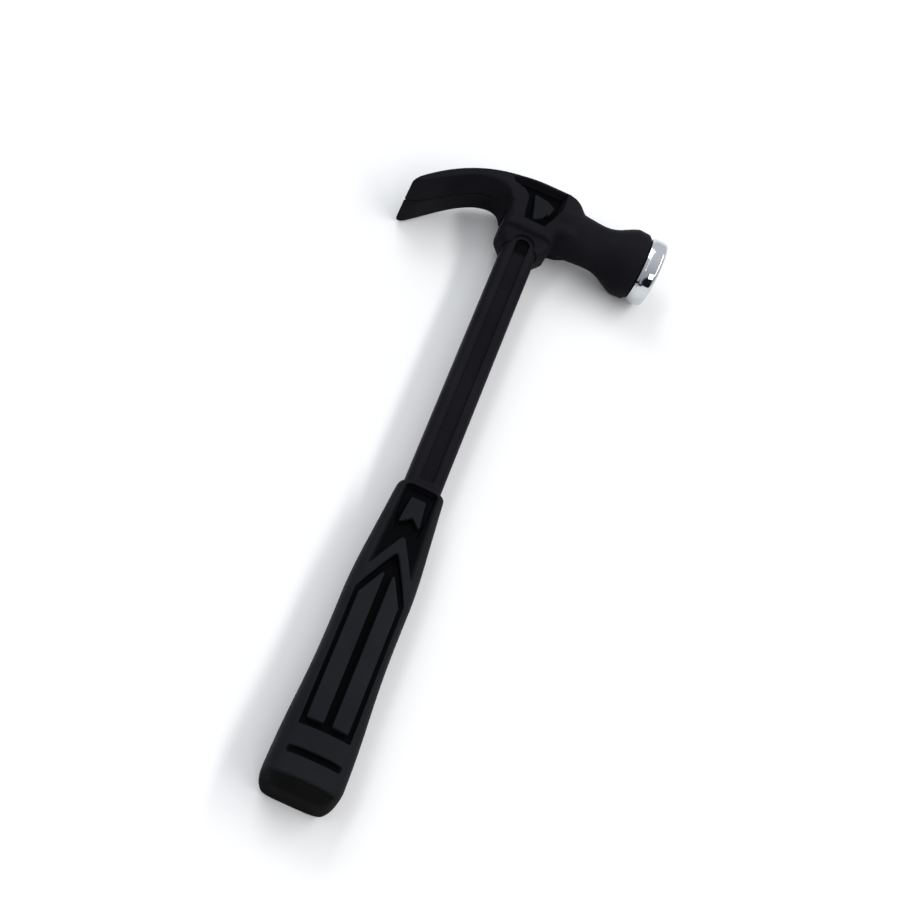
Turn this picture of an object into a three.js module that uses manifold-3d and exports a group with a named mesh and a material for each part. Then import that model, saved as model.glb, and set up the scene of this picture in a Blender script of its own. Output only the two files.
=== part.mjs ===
// A full-size claw hammer lying on its side: forged head with a nail claw and a recessed cheek, a bright
// screw-on striking face, a fluted handle jacket over a composite core bar, and a moulded grip sleeve.
// Millimetres. While it is built, X points to the striking face, Y from the butt to the head and Z out
// of the side of the hammer that faces up.

import * as THREE from "three";
import { mergeVertices } from "three/addons/utils/BufferGeometryUtils.js";
import Module from "manifold-3d";

// ---- Driving dimensions -------------------------------------------------------------------------

const fitGap = 0.3; // clearance between pieces that touch

const pollAxisY = 322; // butt end to the axis of the neck, bell and striking face
const faceReach = 64; // handle axis to the striking face
const clawReach = 58.8; // handle axis to the claw tips

const cheekHalfThickness = 11.5;
const cheekTop = 13.8; // poll axis up to the top of the cheek
const cheekBottom = 18; // poll axis down to the underside of the cheek
const cheekHalfWidth = 12.6; // handle axis to the side of the cheek under the claw
const clawTipHalfWidth = 16;
const clawRootHalfWidth = 11.5;
const clawTipCorner = 3;
const clawTipThickness = 1.8;
const clawDrop = 24.4; // poll axis down to the claw tips
const clawThickness = 4.6;
const clawCrown = 2.2; // ridge along the middle of the claw's inner face
const nailSlotTipWidth = 1.2;
const nailSlotRootWidth = 0.9;
const nailSlotLength = 37;

const neckRadius = 11.1;
const bellRadius = 16.8;
const bellLength = 20; // flare and rim of the bell
const bellRim = 5.5; // full-diameter stretch of the bell
const bellEdge = 1.4;

const faceRadius = 16.2;
const faceThickness = 8.2;
const faceChamfer = 2;
const studRadius = 5;
const studLength = 14;

const pocketDepth = 4;
const pocketRim = 2.3; // cheek top down to the pocket
const pocketSill = 5.6; // cheek underside up to the pocket
const pocketHalfWidth = 10.8;
const badgeRise = 1.9;

const shaftHalfWidth = 8.25;
const shaftHalfThickness = 7;
const shaftCorner = 4.6;
const fluteHalfWidth = 3.1;
const fluteDepth = 2;
const archHalfWidth = 5.6; // opening in the collar that shows the end of the flute
const archDrop = 1.5; // cheek underside down to the top of that opening
const archWall = 2; // jacket left between the opening and the end of the flute
const collarDrop = 8.5; // cheek underside down to the ends of the collar's two lobes
const collarWall = 1.1; // collar over the jacket
const lobeHalfThickness = 6;

const coreHalfWidth = 5.2;
const coreHalfThickness = 3.3;
const coreCorner = 2;
const bondThickness = 0.9; // resin between the core bar and the eye of the head
const eyePlugDepth = 6;
const eyePlugRecess = 0.6; // head top down to the plug

const gripLength = 149.5;
const lipDepth = 1.9; // grip end down to the window
const buttHalfWidth = 16.5;
const buttHalfThickness = 13.3;
const buttCorner = 9.5;
const buttRidge = 1.5; // how far the middle of the butt stands proud
const waistHalfWidth = 14.1;
const waistY = 75; // butt end to the narrowest part of the hand hold
const swellHalfWidth = 14.3;
const swellY = 98;
const lipSideWall = 2.05; // jacket out to the side of the grip, at the grip's end
const lipTopWall = 2; // the same, out to the grip's upper and lower faces
const linerHalfWidth = 7.4;
const linerHalfThickness = 5.3;
const buttFloor = 6; // solid rubber behind the butt

const recessDepth = 3.2;
const recessBottomY = 23;
const recessHalfWidth = 11;
const chevronDrop = 36.1; // grip end down to the point of the rib recess
const chevronSlope = 2.1; // rise over run of the chevron's arms
const chevronBand = 8.8; // height of the chevron along the handle
const windowDepth = 2.4;
const windowTopHalfWidth = 8;
const windowBottomHalfWidth = 9.5;
const ribInner = 1.7;
const ribOuter = 8.8;
const ribBottomGap = 3.6; // recess bottom up to the ribs
const ribTopGap = 6.5; // recess edge down to the ribs, along the handle
const ribRise = 2.7;
const slotY = 11.6;
const slotWidth = 3.3;
const slotHalfLength = 11.6;
const slotDepth = 2.5;
const gripBadgeHalfWidth = 4.6;
const gripBadgeLength = 16;
const gripBadgeRise = 1.6;
const gripBadgeGap = 2.6; // point of the chevron's band up to the badge's lower corners
const gripBadgeNotch = 6.4;

// ---- Materials ----------------------------------------------------------------------------------

function material(color, roughness, metalness) {
  return new THREE.MeshStandardMaterial({ color, roughness, metalness });
}

const coatedSteel = material(0x17161b, 0.42, 0.3);
const brightSteel = material(0xe8ecee, 0.06, 1);
const badgeBlack = material(0x1c1b20, 0.5, 0);
const jacketBlack = material(0x151419, 0.38, 0);
const gripRubber = material(0x1c1d21, 0.62, 0);
const ribRubber = material(0x202125, 0.6, 0);
const linerBlack = material(0x101013, 0.55, 0);
const fibreglass = material(0xc9a24a, 0.5, 0);
const resin = material(0x2a2622, 0.35, 0);

// ---- Solids: three.js shapes joined and cut -----------------------------------------------------

const wasm = await Module();
wasm.setup();

function toSolid(geometry) {
  const bare = geometry.index ? geometry.toNonIndexed() : geometry.clone();
  bare.deleteAttribute("normal");
  bare.deleteAttribute("uv");
  const welded = mergeVertices(bare, 1e-4);
  return new wasm.Manifold(
    new wasm.Mesh({
      numProp: 3,
      vertProperties: new Float32Array(welded.attributes.position.array),
      triVerts: new Uint32Array(welded.index.array),
    })
  );
}

function toGeometry(solid) {
  const mesh = solid.getMesh();
  const geometry = new THREE.BufferGeometry();
  geometry.setAttribute("position", new THREE.BufferAttribute(new Float32Array(mesh.vertProperties), 3));
  geometry.setIndex(new THREE.BufferAttribute(new Uint32Array(mesh.triVerts), 1));
  geometry.computeVertexNormals();
  return geometry;
}

// An XY outline given thickness along Z, from z0 to z1.
function slab(shape, z0, z1, curveSegments = 10) {
  const geometry = new THREE.ExtrudeGeometry(shape, { depth: z1 - z0, bevelEnabled: false, curveSegments });
  return toSolid(geometry.translate(0, 0, z0));
}

// An outline drawn with x across the handle and y as Z, run along the handle from y0 to y1.
function bar(shape, y0, y1, curveSegments = 10) {
  const geometry = new THREE.ExtrudeGeometry(shape, { depth: y1 - y0, bevelEnabled: false, curveSegments });
  geometry.rotateX(Math.PI / 2);
  return toSolid(geometry.translate(0, y1, 0));
}

// A side outline drawn with x as Y and y as Z, run across the handle over the given half width.
function sideSlab(shape, halfWidth, curveSegments = 10) {
  const depth = 2 * halfWidth;
  const geometry = new THREE.ExtrudeGeometry(shape, { depth, bevelEnabled: false, curveSegments });
  geometry.rotateX(Math.PI / 2);
  geometry.rotateZ(Math.PI / 2);
  return toSolid(geometry.translate(-halfWidth, 0, 0));
}

// The same cut or piece on both sides of the hammer.
const bothSides = (solid) => solid.add(solid.mirror([0, 0, 1]));

function polygon(points) {
  return new THREE.Shape(points.map(([x, y]) => new THREE.Vector2(x, y)));
}

function roundedBox(halfWidth, halfHeight, radius) {
  const shape = new THREE.Shape();
  const w = halfWidth - radius;
  const h = halfHeight - radius;
  shape.absarc(w, h, radius, 0, Math.PI / 2);
  shape.absarc(-w, h, radius, Math.PI / 2, Math.PI);
  shape.absarc(-w, -h, radius, Math.PI, 1.5 * Math.PI);
  shape.absarc(w, -h, radius, 1.5 * Math.PI, 2 * Math.PI);
  return shape;
}

// ---- Places worked out from the driving dimensions ----------------------------------------------

const headTopY = pollAxisY + cheekTop;
const headBottomY = pollAxisY - cheekBottom;
const bellFrontX = faceReach - faceThickness - fitGap;
const bellBackX = bellFrontX - bellLength;
const eyeHalfWidth = coreHalfWidth + fitGap + bondThickness + fitGap;
const eyeHalfThickness = coreHalfThickness + fitGap + bondThickness + fitGap;
const eyeCorner = coreCorner + fitGap + bondThickness + fitGap;
const jacketTopY = headBottomY + 3;
const jacketBottomY = gripLength - lipDepth + fitGap;
const coreTopY = headTopY - eyePlugRecess - eyePlugDepth - fitGap;
const linerBottomY = buttFloor + fitGap;
const linerTopY = jacketBottomY - fitGap;
const archTopY = headBottomY - archDrop;
const gripTopHalfWidth = shaftHalfWidth + lipSideWall;
const gripTopHalfThickness = shaftHalfThickness + lipTopWall;
const pocketTop = cheekTop - pocketRim;
const pocketBottom = pocketSill - cheekBottom;
const chevronApexY = gripLength - chevronDrop;

// Half width of the grip along the handle: butt, waist, swell and top joined by smooth steps.
function gripHalfWidth(y) {
  const blend = (a, b, t) => a + (b - a) * (0.5 - 0.5 * Math.cos(Math.PI * THREE.MathUtils.clamp(t, 0, 1)));
  if (y < waistY) return blend(buttHalfWidth, waistHalfWidth, (y - buttCorner) / (waistY - buttCorner));
  if (y < swellY) return blend(waistHalfWidth, swellHalfWidth, (y - waistY) / (swellY - waistY));
  const t = (y - swellY) / (gripLength - swellY);
  return THREE.MathUtils.lerp(swellHalfWidth, gripTopHalfWidth, t ** 1.25);
}

// Half thickness of the grip: a nearly straight taper from the butt to the top.
function gripHalfThickness(y) {
  const t = THREE.MathUtils.clamp(y / gripLength, 0, 1);
  return THREE.MathUtils.lerp(buttHalfThickness, gripTopHalfThickness, t ** 1.2);
}

// ---- Head ---------------------------------------------------------------------------------------

// Side view of the claw and cheek, drawn about the poll axis. The crown lowers the claw's inner edge.
function headOutline(crown) {
  const rootX = -cheekHalfWidth - 7.9;
  const inner = cheekTop - 7 - clawThickness - crown;
  const throatX = cheekHalfWidth + 9.5;
  const shape = new THREE.Shape();
  shape.moveTo(0, cheekTop);
  const bendX = -0.75 * clawReach;
  shape.bezierCurveTo(-0.41 * clawReach, cheekTop - 0.8, bendX, cheekTop - 17.3, -clawReach, -clawDrop);
  shape.lineTo(-clawReach + 1.1, -clawDrop - clawTipThickness);
  shape.bezierCurveTo(-0.8 * clawReach, 5.6 - clawDrop - crown, -0.56 * clawReach, inner + 0.2, rootX, inner);
  shape.quadraticCurveTo(-cheekHalfWidth - 1.2, inner, -cheekHalfWidth, -6);
  shape.lineTo(-cheekHalfWidth, -cheekBottom);
  shape.lineTo(cheekHalfWidth, -cheekBottom);
  shape.lineTo(cheekHalfWidth, -neckRadius + 0.5);
  shape.lineTo(throatX, -neckRadius + 4);
  shape.lineTo(throatX, neckRadius - 3);
  shape.quadraticCurveTo(cheekHalfWidth + 4, cheekTop - 1, cheekHalfWidth, cheekTop + 0.4);
  shape.lineTo(0, cheekTop);
  return shape;
}

// Claw and cheek at full width, with the crown along the middle.
function headBlank() {
  const curveSegments = 14;
  const depth = 2 * clawTipHalfWidth;
  const options = { depth, steps: 2, bevelEnabled: false, curveSegments };
  const geometry = new THREE.ExtrudeGeometry(headOutline(0), options);
  const edge = headOutline(0).getPoints(curveSegments);
  const crowned = headOutline(clawCrown).getPoints(curveSegments);
  const position = geometry.attributes.position;
  for (let i = 0; i < position.count; i += 1) {
    if (Math.abs(position.getZ(i) - clawTipHalfWidth) > 0.01) continue;
    const near = (p) => Math.hypot(p.x - position.getX(i), p.y - position.getY(i)) < 1e-4;
    const raised = crowned[edge.findIndex(near)];
    position.setXY(i, raised.x, raised.y);
  }
  return toSolid(geometry.translate(0, pollAxisY, -clawTipHalfWidth));
}

// Top view of the claw: it widens towards tips with rounded corners.
function clawPlan() {
  const corner = clawTipCorner;
  const tip = -clawReach - 1;
  const shape = new THREE.Shape();
  shape.moveTo(cheekHalfWidth + 12, -clawRootHalfWidth);
  shape.lineTo(cheekHalfWidth + 12, clawRootHalfWidth);
  shape.lineTo(-cheekHalfWidth, clawRootHalfWidth);
  shape.lineTo(tip + corner, clawTipHalfWidth);
  shape.quadraticCurveTo(-clawReach, clawTipHalfWidth, -clawReach, clawTipHalfWidth - corner);
  shape.lineTo(tip, 0);
  shape.lineTo(-clawReach, -clawTipHalfWidth + corner);
  shape.quadraticCurveTo(-clawReach, -clawTipHalfWidth, tip + corner, -clawTipHalfWidth);
  shape.lineTo(-cheekHalfWidth, -clawRootHalfWidth);
  return shape;
}

// Neck, flare and rim of the bell turned about the poll axis, with the bore for the face's stud.
function pollBody() {
  const flare = new THREE.CubicBezierCurve(
    new THREE.Vector2(neckRadius, bellBackX),
    new THREE.Vector2(neckRadius, bellBackX + 0.4 * (bellLength - bellRim)),
    new THREE.Vector2(bellRadius - 1.4, bellFrontX - bellRim - 2.5),
    new THREE.Vector2(bellRadius, bellFrontX - bellRim)
  );
  const points = [
    new THREE.Vector2(0, 0),
    new THREE.Vector2(neckRadius, 0),
    ...flare.getPoints(8),
    new THREE.Vector2(bellRadius, bellFrontX - bellEdge),
    new THREE.Vector2(bellRadius - bellEdge, bellFrontX),
    new THREE.Vector2(studRadius + fitGap, bellFrontX),
    new THREE.Vector2(studRadius + fitGap, bellFrontX - studLength - fitGap),
    new THREE.Vector2(0, bellFrontX - studLength - fitGap),
  ];
  const geometry = new THREE.LatheGeometry(points, 40);
  geometry.rotateZ(-Math.PI / 2);
  return toSolid(geometry.translate(0, pollAxisY, 0));
}

// Pocket in the cheek: wide at the top with a horn over the claw, narrow at the bottom.
function pocketShape() {
  const shape = new THREE.Shape();
  shape.moveTo(-5, pocketBottom);
  shape.lineTo(5.6, pocketBottom);
  shape.lineTo(pocketHalfWidth - 1.2, -1.5);
  shape.lineTo(pocketHalfWidth, 2);
  shape.lineTo(pocketHalfWidth, pocketTop + 0.4);
  shape.lineTo(0, pocketTop - 0.2);
  shape.lineTo(-pocketHalfWidth + 0.8, pocketTop - 1.4);
  shape.lineTo(-pocketHalfWidth - 5.5, pocketTop - 3.9);
  shape.lineTo(-pocketHalfWidth - 4.2, pocketTop - 5.5);
  shape.quadraticCurveTo(-8, pocketTop - 6.9, -6, -1);
  shape.lineTo(-5, pocketBottom);
  return shape;
}

// The collar under the cheek: a short ring round the jacket, and a lobe down each side of it.
function collarBody() {
  const bottomY = headBottomY - collarDrop;
  const ringY = headBottomY - 0.4 * collarDrop;
  const lowerHalfWidth = shaftHalfWidth + fitGap + 0.4;
  const ringHalfThickness = shaftHalfThickness + fitGap + collarWall;
  const lobes = new THREE.Shape();
  lobes.moveTo(-cheekHalfWidth, headBottomY + 1);
  lobes.quadraticCurveTo(-cheekHalfWidth, ringY, -lowerHalfWidth, bottomY);
  lobes.lineTo(lowerHalfWidth, bottomY);
  lobes.quadraticCurveTo(cheekHalfWidth, ringY, cheekHalfWidth, headBottomY + 1);
  const ring = polygon([
    [-cheekHalfWidth + 1.2, headBottomY + 1],
    [-shaftHalfWidth - 1.4, ringY],
    [shaftHalfWidth + 1.4, ringY],
    [cheekHalfWidth - 1.2, headBottomY + 1],
  ]);
  const lobePair = slab(lobes, -lobeHalfThickness, lobeHalfThickness);
  return lobePair.add(slab(ring, -ringHalfThickness, ringHalfThickness));
}

// Arched opening in the front of the collar, down to the face of the jacket.
function archShape() {
  const shape = new THREE.Shape();
  shape.moveTo(-archHalfWidth, headBottomY - collarDrop - 1);
  shape.lineTo(archHalfWidth, headBottomY - collarDrop - 1);
  shape.lineTo(archHalfWidth, archTopY - archHalfWidth);
  shape.absarc(0, archTopY - archHalfWidth, archHalfWidth, 0, Math.PI);
  return shape;
}

// The slot between the tines, drawn in the top view of the claw.
function nailSlotShape() {
  const rootX = -clawReach + nailSlotLength;
  const tipX = -clawReach - 3;
  const shape = new THREE.Shape();
  shape.moveTo(tipX, -nailSlotTipWidth / 2);
  shape.lineTo(tipX, nailSlotTipWidth / 2);
  shape.lineTo(rootX, nailSlotRootWidth / 2);
  shape.absarc(rootX, 0, nailSlotRootWidth / 2, Math.PI / 2, -Math.PI / 2, true);
  return shape;
}

function headSolid() {
  const above = pollAxisY + cheekTop + 10;
  const below = pollAxisY - 40;
  const cheekLimit = bar(roundedBox(3 * faceReach, cheekHalfThickness, 1), below, above);
  const clawStartX = -cheekHalfWidth - 3.4;
  const wide = 2 * clawTipHalfWidth;
  const clawBox = [[-2 * clawReach, -wide], [-2 * clawReach, wide], [clawStartX, wide], [clawStartX, -wide]];
  const clawSide = bar(polygon(clawBox), below, above);
  const plan = bar(clawPlan(), below, above);
  const blade = headBlank().intersect(plan).intersect(cheekLimit.add(clawSide));
  const pocket = slab(pocketShape(), cheekHalfThickness - pocketDepth, clawTipHalfWidth + 1);
  const arch = slab(archShape(), shaftHalfThickness + fitGap, cheekHalfThickness + 1);
  const eye = bar(roundedBox(eyeHalfWidth, eyeHalfThickness, eyeCorner), below, above);
  const socket = roundedBox(shaftHalfWidth + fitGap, shaftHalfThickness + fitGap, shaftCorner + fitGap);
  return blade
    .add(pollBody())
    .add(collarBody())
    .subtract(bothSides(pocket.translate([0, pollAxisY, 0])))
    .subtract(bothSides(arch))
    .subtract(eye)
    .subtract(bar(socket, below, jacketTopY + fitGap))
    .subtract(bar(nailSlotShape(), below, above));
}

// Striking face: a bright disc with a chamfered rim and a stud that screws into the bell.
function faceSolid() {
  const backX = bellFrontX + fitGap;
  const points = [
    new THREE.Vector2(0, bellFrontX - studLength),
    new THREE.Vector2(studRadius, bellFrontX - studLength),
    new THREE.Vector2(studRadius, backX),
    new THREE.Vector2(faceRadius, backX),
    new THREE.Vector2(faceRadius, faceReach - faceChamfer),
    new THREE.Vector2(faceRadius - faceChamfer, faceReach),
    new THREE.Vector2(0, faceReach),
  ];
  const geometry = new THREE.LatheGeometry(points, 56);
  geometry.rotateZ(-Math.PI / 2);
  return toSolid(geometry.translate(0, pollAxisY, 0));
}

// Plain shield that fills the lower part of the cheek pocket.
function cheekBadgeSolid() {
  const floor = cheekHalfThickness - pocketDepth + fitGap;
  const shape = new THREE.Shape();
  const pointY = pocketBottom + 2.9;
  const backY = pocketTop - 6.3;
  shape.moveTo(-0.5, pointY);
  shape.lineTo(4, pointY + 3.5);
  shape.lineTo(pocketHalfWidth - 3.8, 2);
  shape.quadraticCurveTo(2, backY + 0.8, -4, backY);
  shape.lineTo(-0.5, pointY);
  return slab(shape, floor, floor + badgeRise).translate([0, pollAxisY, 0]);
}

// ---- Handle -------------------------------------------------------------------------------------

const coreShape = () => roundedBox(coreHalfWidth, coreHalfThickness, coreCorner);

// Hole for the core bar, one clearance larger all round.
function coreHoleShape() {
  return roundedBox(coreHalfWidth + fitGap, coreHalfThickness + fitGap, coreCorner + fitGap);
}

function bondSolid() {
  const outer = roundedBox(eyeHalfWidth - fitGap, eyeHalfThickness - fitGap, eyeCorner - fitGap);
  const bottomY = jacketTopY + 2 * fitGap;
  return bar(outer, bottomY, coreTopY).subtract(bar(coreHoleShape(), bottomY - 1, coreTopY + 1));
}

function eyePlugSolid() {
  const outer = roundedBox(eyeHalfWidth - fitGap, eyeHalfThickness - fitGap, eyeCorner - fitGap);
  return bar(outer, coreTopY + fitGap, headTopY - eyePlugRecess);
}

// Flute in the side of the jacket, with a round end under the arch of the collar.
function fluteSolid() {
  const topY = archTopY - archWall;
  const bottomY = gripLength + 5;
  const shape = new THREE.Shape();
  shape.moveTo(-fluteHalfWidth, bottomY);
  shape.lineTo(fluteHalfWidth, bottomY);
  shape.lineTo(fluteHalfWidth, topY - fluteHalfWidth);
  shape.absarc(0, topY - fluteHalfWidth, fluteHalfWidth, 0, Math.PI);
  return slab(shape, shaftHalfThickness - fluteDepth, shaftHalfThickness + 1);
}

function jacketSolid() {
  const outer = roundedBox(shaftHalfWidth, shaftHalfThickness, shaftCorner);
  return bar(outer, jacketBottomY, jacketTopY)
    .subtract(bar(coreHoleShape(), jacketBottomY - 1, jacketTopY + 1))
    .subtract(bothSides(fluteSolid()));
}

// ---- Grip ---------------------------------------------------------------------------------------

// Outer form of the grip: a rounded section swept along the handle and fitted to the two tapers.
function gripForm() {
  const section = new THREE.Shape();
  const count = 40;
  for (let i = 0; i < count; i += 1) {
    const angle = (2 * Math.PI * i) / count;
    const power = 2 / 3.4;
    const x = Math.sign(Math.cos(angle)) * Math.abs(Math.cos(angle)) ** power;
    const y = Math.sign(Math.sin(angle)) * Math.abs(Math.sin(angle)) ** power;
    if (i === 0) section.moveTo(x, y);
    else section.lineTo(x, y);
  }
  const geometry = new THREE.ExtrudeGeometry(section, { depth: 1, steps: 26, bevelEnabled: false });
  geometry.rotateX(Math.PI / 2);
  geometry.translate(0, 1, 0);
  const position = geometry.attributes.position;
  for (let i = 0; i < position.count; i += 1) {
    const y = position.getY(i) * gripLength;
    const x = position.getX(i) * gripHalfWidth(y);
    const z = position.getZ(i) * gripHalfThickness(y);
    position.setXYZ(i, x, y, z);
  }
  return toSolid(geometry);
}

// Rounded lower corners of the grip in front view.
function gripFrontLimit() {
  const wide = buttHalfWidth + 6;
  const shape = new THREE.Shape();
  shape.moveTo(buttHalfWidth - buttCorner, 0);
  shape.absarc(buttHalfWidth - buttCorner, buttCorner, buttCorner, -Math.PI / 2, 0);
  shape.lineTo(wide, waistY);
  shape.lineTo(wide, gripLength - 3);
  shape.lineTo(gripTopHalfWidth - 1.2, gripLength);
  shape.lineTo(-gripTopHalfWidth + 1.2, gripLength);
  shape.lineTo(-wide, gripLength - 3);
  shape.lineTo(-wide, waistY);
  shape.lineTo(-buttHalfWidth, buttCorner);
  shape.absarc(-buttHalfWidth + buttCorner, buttCorner, buttCorner, Math.PI, 1.5 * Math.PI);
  return slab(shape, -buttHalfThickness - 1, buttHalfThickness + 1);
}

// Shallow ridge across the butt in side view.
function gripSideLimit() {
  const edge = buttHalfThickness - 2.5;
  const outer = buttHalfThickness + 1;
  return sideSlab(
    polygon([[0, 0], [buttRidge, -edge], [buttRidge + 3, -outer], [gripLength + 1, -outer],
      [gripLength + 1, outer], [buttRidge + 3, outer], [buttRidge, edge]]),
    buttHalfWidth + 1
  );
}

// A pocket of even depth in the side of the grip, following its taper.
function sunkPocket(shape, depth) {
  const column = slab(shape, 0, buttHalfThickness + 2);
  const position = (y) => gripHalfThickness(y) - depth;
  const points = [];
  for (let i = 0; i <= 6; i += 1) points.push([(gripLength * i) / 6, position((gripLength * i) / 6)]);
  const above = polygon([...points, [gripLength, buttHalfThickness + 3], [0, buttHalfThickness + 3]]);
  return column.intersect(sideSlab(above, buttHalfWidth));
}

// The layer between two depths under the side of the grip, over an outline.
function layer(shape, lowDepth, highDepth) {
  return sunkPocket(shape, lowDepth).subtract(sunkPocket(shape, highDepth));
}

// Long recess for the ribs, pointed at the head end.
function ribRecessShape() {
  const shoulderY = chevronApexY - chevronSlope * recessHalfWidth;
  return polygon([
    [-recessHalfWidth, recessBottomY],
    [recessHalfWidth, recessBottomY],
    [recessHalfWidth, shoulderY],
    [0, chevronApexY],
    [-recessHalfWidth, shoulderY],
  ]);
}

// Window under the lip; its lower edge is the top of the chevron.
function windowShape() {
  const apexY = chevronApexY + chevronBand;
  const lowY = apexY - chevronSlope * windowBottomHalfWidth;
  const topY = gripLength - lipDepth;
  return polygon([
    [-windowTopHalfWidth, topY],
    [-windowBottomHalfWidth, lowY],
    [0, apexY],
    [windowBottomHalfWidth, lowY],
    [windowTopHalfWidth, topY],
  ]);
}

function buttSlotShape() {
  const shape = roundedBox(slotHalfLength, slotWidth / 2, 1);
  return new THREE.Shape(shape.getPoints(4).map((p) => new THREE.Vector2(p.x, p.y + slotY)));
}

function sleeveSolid() {
  const cavity = roundedBox(linerHalfWidth + fitGap, linerHalfThickness + fitGap, 2);
  const throat = roundedBox(shaftHalfWidth + fitGap, shaftHalfThickness + fitGap, shaftCorner + fitGap);
  return gripForm()
    .intersect(gripFrontLimit())
    .intersect(gripSideLimit())
    .subtract(bothSides(sunkPocket(ribRecessShape(), recessDepth)))
    .subtract(bothSides(sunkPocket(windowShape(), windowDepth)))
    .subtract(bothSides(sunkPocket(buttSlotShape(), slotDepth)))
    .subtract(bar(cavity, buttFloor, gripLength + 1))
    .subtract(bar(throat, jacketBottomY - fitGap, gripLength + 1));
}

function linerSolid() {
  const outer = roundedBox(linerHalfWidth, linerHalfThickness, 1.8);
  return bar(outer, linerBottomY, linerTopY).subtract(bar(coreHoleShape(), linerBottomY - 1, linerTopY + 1));
}

// One of the two long ribs on a side; its top end follows the chevron.
function ribSolid() {
  const bottomY = recessBottomY + ribBottomGap;
  const topAt = (x) => chevronApexY - chevronSlope * x - ribTopGap;
  const shape = polygon([
    [ribInner, bottomY],
    [ribOuter, bottomY],
    [ribOuter, topAt(ribOuter)],
    [ribInner, topAt(ribInner)],
  ]);
  return layer(shape, recessDepth - fitGap, recessDepth - fitGap - ribRise);
}

// Plain tab in the window, notched over the point of the chevron.
function gripBadgeSolid() {
  const lowY = chevronApexY + chevronBand + gripBadgeGap;
  const topY = lowY + gripBadgeLength;
  const shape = polygon([
    [-gripBadgeHalfWidth, topY],
    [-gripBadgeHalfWidth - 0.6, lowY],
    [0, lowY + gripBadgeNotch],
    [gripBadgeHalfWidth + 0.6, lowY],
    [gripBadgeHalfWidth, topY],
  ]);
  return layer(shape, windowDepth - fitGap, windowDepth - fitGap - gripBadgeRise);
}

// ---- Assembly -----------------------------------------------------------------------------------

const hammer = new THREE.Group();

function place(name, solid, surface) {
  const mesh = new THREE.Mesh(toGeometry(solid), surface);
  mesh.name = name;
  hammer.add(mesh);
}

const underside = (solid) => solid.mirror([0, 0, 1]);
const otherRib = (solid) => solid.mirror([1, 0, 0]);

place("forged_head", headSolid(), coatedSteel);
place("striking_face", faceSolid(), brightSteel);
place("cheek_badge_upper", cheekBadgeSolid(), badgeBlack);
place("cheek_badge_lower", underside(cheekBadgeSolid()), badgeBlack);
place("eye_plug", eyePlugSolid(), resin);
place("eye_bond", bondSolid(), resin);
place("core_bar", bar(coreShape(), linerBottomY + 6, coreTopY), fibreglass);
place("handle_jacket", jacketSolid(), jacketBlack);
place("grip_sleeve", sleeveSolid(), gripRubber);
place("grip_liner", linerSolid(), linerBlack);
place("grip_rib_upper_face_side", ribSolid(), ribRubber);
place("grip_rib_upper_claw_side", otherRib(ribSolid()), ribRubber);
place("grip_rib_lower_face_side", underside(ribSolid()), ribRubber);
place("grip_rib_lower_claw_side", underside(otherRib(ribSolid())), ribRubber);
place("grip_badge_upper", gripBadgeSolid(), badgeBlack);
place("grip_badge_lower", underside(gripBadgeSolid()), badgeBlack);

// The hammer lies on its side, resting on the rim of the bell and the edge of the butt.
const part = new THREE.Group();
part.add(hammer);
hammer.rotation.x = Math.atan2(bellRadius - buttHalfThickness, pollAxisY - buttCorner);
hammer.updateMatrixWorld(true);
const bounds = new THREE.Box3().setFromObject(hammer, true);
const centre = bounds.getCenter(new THREE.Vector3());
hammer.position.set(-centre.x, -centre.y, -bounds.min.z);

export default part;
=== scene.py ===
"""Claw hammer lying on its side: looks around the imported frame."""

import math

import bpy
import numpy as np
import openvdb
from mathutils import Matrix, Vector


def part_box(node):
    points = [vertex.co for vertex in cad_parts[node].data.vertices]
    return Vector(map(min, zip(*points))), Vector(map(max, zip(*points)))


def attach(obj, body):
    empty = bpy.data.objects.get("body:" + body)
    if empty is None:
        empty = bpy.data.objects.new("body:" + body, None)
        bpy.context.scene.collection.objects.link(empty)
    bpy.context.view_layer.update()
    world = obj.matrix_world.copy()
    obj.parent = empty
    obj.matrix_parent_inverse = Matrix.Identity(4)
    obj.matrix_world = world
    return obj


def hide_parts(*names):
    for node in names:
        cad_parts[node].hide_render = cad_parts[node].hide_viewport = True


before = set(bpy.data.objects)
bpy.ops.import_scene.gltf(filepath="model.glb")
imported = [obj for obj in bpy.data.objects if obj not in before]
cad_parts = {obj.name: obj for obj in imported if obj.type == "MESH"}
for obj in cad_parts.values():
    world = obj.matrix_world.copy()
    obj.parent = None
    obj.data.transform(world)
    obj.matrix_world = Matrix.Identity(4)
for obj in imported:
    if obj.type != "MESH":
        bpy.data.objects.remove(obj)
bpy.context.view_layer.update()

# ---- Where the hammer lies in the frame -----------------------------------------------------------
# Shapes are drawn in the hammer's own axes, in millimetres: X to the striking face, Y from the butt
# to the head, Z out of the side that faces up. The hammer is tilted a little about X and shifted.

POLL_Y = 322.0
BELL_R = 16.8
BUTT_Z = 13.3
BUTT_REST_Y = 9.5
TILT = math.atan2(BELL_R - BUTT_Z, POLL_Y - BUTT_REST_Y)
MM = 0.001
FACE_REACH = 64.0
face_low, face_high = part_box("striking_face")


def hammer_to_frame():
    """The matrix from the hammer's axes (mm) to the frame (m), fixed by the striking face's box."""
    turn = Matrix.Rotation(TILT, 4, "X")
    middle = (face_low + face_high) / 2
    at = turn @ Vector((0.0, POLL_Y, 0.0)) * MM
    shift = Vector((face_high.x - FACE_REACH * MM, middle.y - at.y, middle.z - at.z))
    return Matrix.Translation(shift) @ turn @ Matrix.Scale(MM, 4)


PLACE = hammer_to_frame()

# ---- Distance fields ------------------------------------------------------------------------------


def round_and(a, b, r):
    """What is in both, with a convex edge of radius r."""
    return np.minimum(-r, np.maximum(a, b)) + np.hypot(np.maximum(r + a, 0), np.maximum(r + b, 0))


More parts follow.
